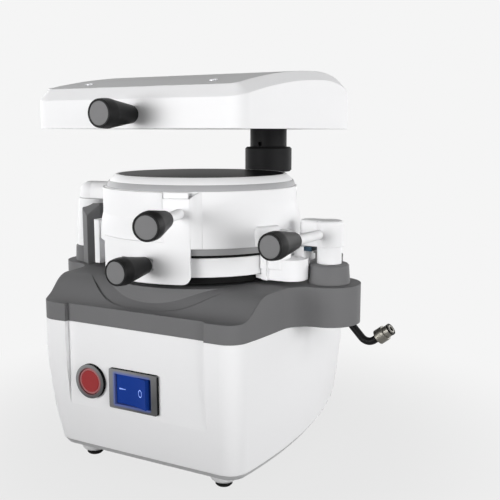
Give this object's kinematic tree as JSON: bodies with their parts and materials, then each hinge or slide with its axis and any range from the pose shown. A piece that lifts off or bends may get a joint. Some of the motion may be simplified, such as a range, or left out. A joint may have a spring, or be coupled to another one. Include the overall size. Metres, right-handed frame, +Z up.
{
  "type": "dental pressure former",
  "caption": "Bench-top pressure thermoforming machine with a swing-out heater head, a swing-out round pressure chamber with a foil ring, and a swivel clamp.",
  "frame": {"origin": "middle of the underside of the bounding box, on the surface that the feet stand on", "axes": "+Z up, -Y towards the user (front panel), +X to the user's right"},
  "size_m": [0.2814, 0.2752, 0.2872],
  "materials": {
    "white_housing": "gloss",
    "white_rod": "satin",
    "grey_cover": "satin",
    "dark_plate": "satin",
    "light_cup": "satin",
    "soft_rubber": "matte",
    "aluminium_part": "satin",
    "white_ring": "gloss",
    "black_pipe": "satin",
    "steel_part": "satin",
    "black_column": "satin",
    "bronze_bush": "satin",
    "grip_plastic": "satin",
    "grip_end": "satin",
    "window_glass": "gloss",
    "grille_wire": "satin",
    "heating_element": "matte",
    "bezel_plastic": "satin",
    "socket_plastic": "satin",
    "blue_rocker": "gloss",
    "red_button": "satin",
    "transformer_iron": "matte",
    "board_plastic": "satin"
  },
  "bodies": {
    "base": {"base_housing": "white_housing", "base_plate": "dark_plate", "foot_cups": "light_cup", "foot_pads": "soft_rubber", "deck_cover": "grey_cover", "model_cup": "aluminium_part", "model_platform": "aluminium_part", "air_pipe": "black_pipe", "air_fitting": "steel_part", "post_collars": "grey_cover", "swing_post": "white_housing", "post_guard": "grey_cover", "column_flange": "steel_part", "column_post": "black_column", "column_collar": "black_column", "cap_screws": "steel_part", "switch_bezel": "bezel_plastic", "button_bezel": "bezel_plastic", "mains_inlet": "socket_plastic", "fuse_holder": "socket_plastic", "transformer": "transformer_iron", "control_board": "board_plastic", "solenoid_valve": "aluminium_part", "pressure_regulator": "aluminium_part"},
    "heater_head": {"column_shaft": "black_column", "column_bush": "bronze_bush", "heater_cover": "white_housing", "heater_rod": "white_rod", "heater_grip": "grip_plastic", "heater_grip_disc": "grip_end", "heater_base": "white_housing", "heater_reflector": "aluminium_part", "heating_rings": "heating_element", "heater_grille": "grille_wire"},
    "chamber": {"chamber_shell": "white_housing", "front_bracket": "white_housing", "swing_rod": "white_rod", "swing_grip": "grip_plastic", "swing_grip_disc": "grip_end", "chamber_rim": "steel_part", "heating_window": "window_glass", "window_seal": "soft_rubber", "foil_holder": "aluminium_part", "foil_gasket": "soft_rubber", "right_jaw": "white_housing", "left_jaw": "white_housing", "wear_plate": "steel_part"},
    "foil_lock": {"foil_ring": "white_ring", "ring_seal": "soft_rubber", "lock_rod": "white_rod", "lock_grip": "grip_plastic", "lock_grip_disc": "grip_end"},
    "clamp": {"clamp_cap": "white_housing", "clamp_spindle": "white_rod", "clamp_rod": "white_rod", "clamp_grip": "grip_plastic", "clamp_grip_disc": "grip_end"},
    "rocker": {"power_rocker": "blue_rocker"},
    "button": {"heating_button": "red_button"}
  },
  "joints": [
    {"name": "heater_swing", "type": "hinge", "parent": "base", "child": "heater_head", "pos_m": [-0.01188, 0.1073, 0.2295], "axis": [0, 0, 1], "range_deg": [0, 100]},
    {"name": "chamber_swing", "type": "hinge", "parent": "base", "child": "chamber", "pos_m": [-0.11788, -0.00539, 0.1915], "axis": [0, 0, -1], "range_deg": [0, 95]},
    {"name": "foil_lock_turn", "type": "hinge", "parent": "chamber", "child": "foil_lock", "pos_m": [-0.01188, -0.00539, 0.1515], "axis": [0, 0, -1], "range_deg": [0, 14]},
    {"name": "clamp_turn", "type": "hinge", "parent": "base", "child": "clamp", "pos_m": [0.09412, -0.00539, 0.1515], "axis": [0, 0, 1], "range_deg": [0, 80]},
    {"name": "rocker_tilt", "type": "hinge", "parent": "base", "child": "rocker", "pos_m": [-0.01208, -0.0913, 0.0653], "axis": [0, 0, 1], "range_deg": [0, 18]},
    {"name": "button_press", "type": "slide", "parent": "base", "child": "button", "axis": [0, 1, 0], "range_m": [0, 0.003], "stiffness_N_per_m": 400}
  ]
}
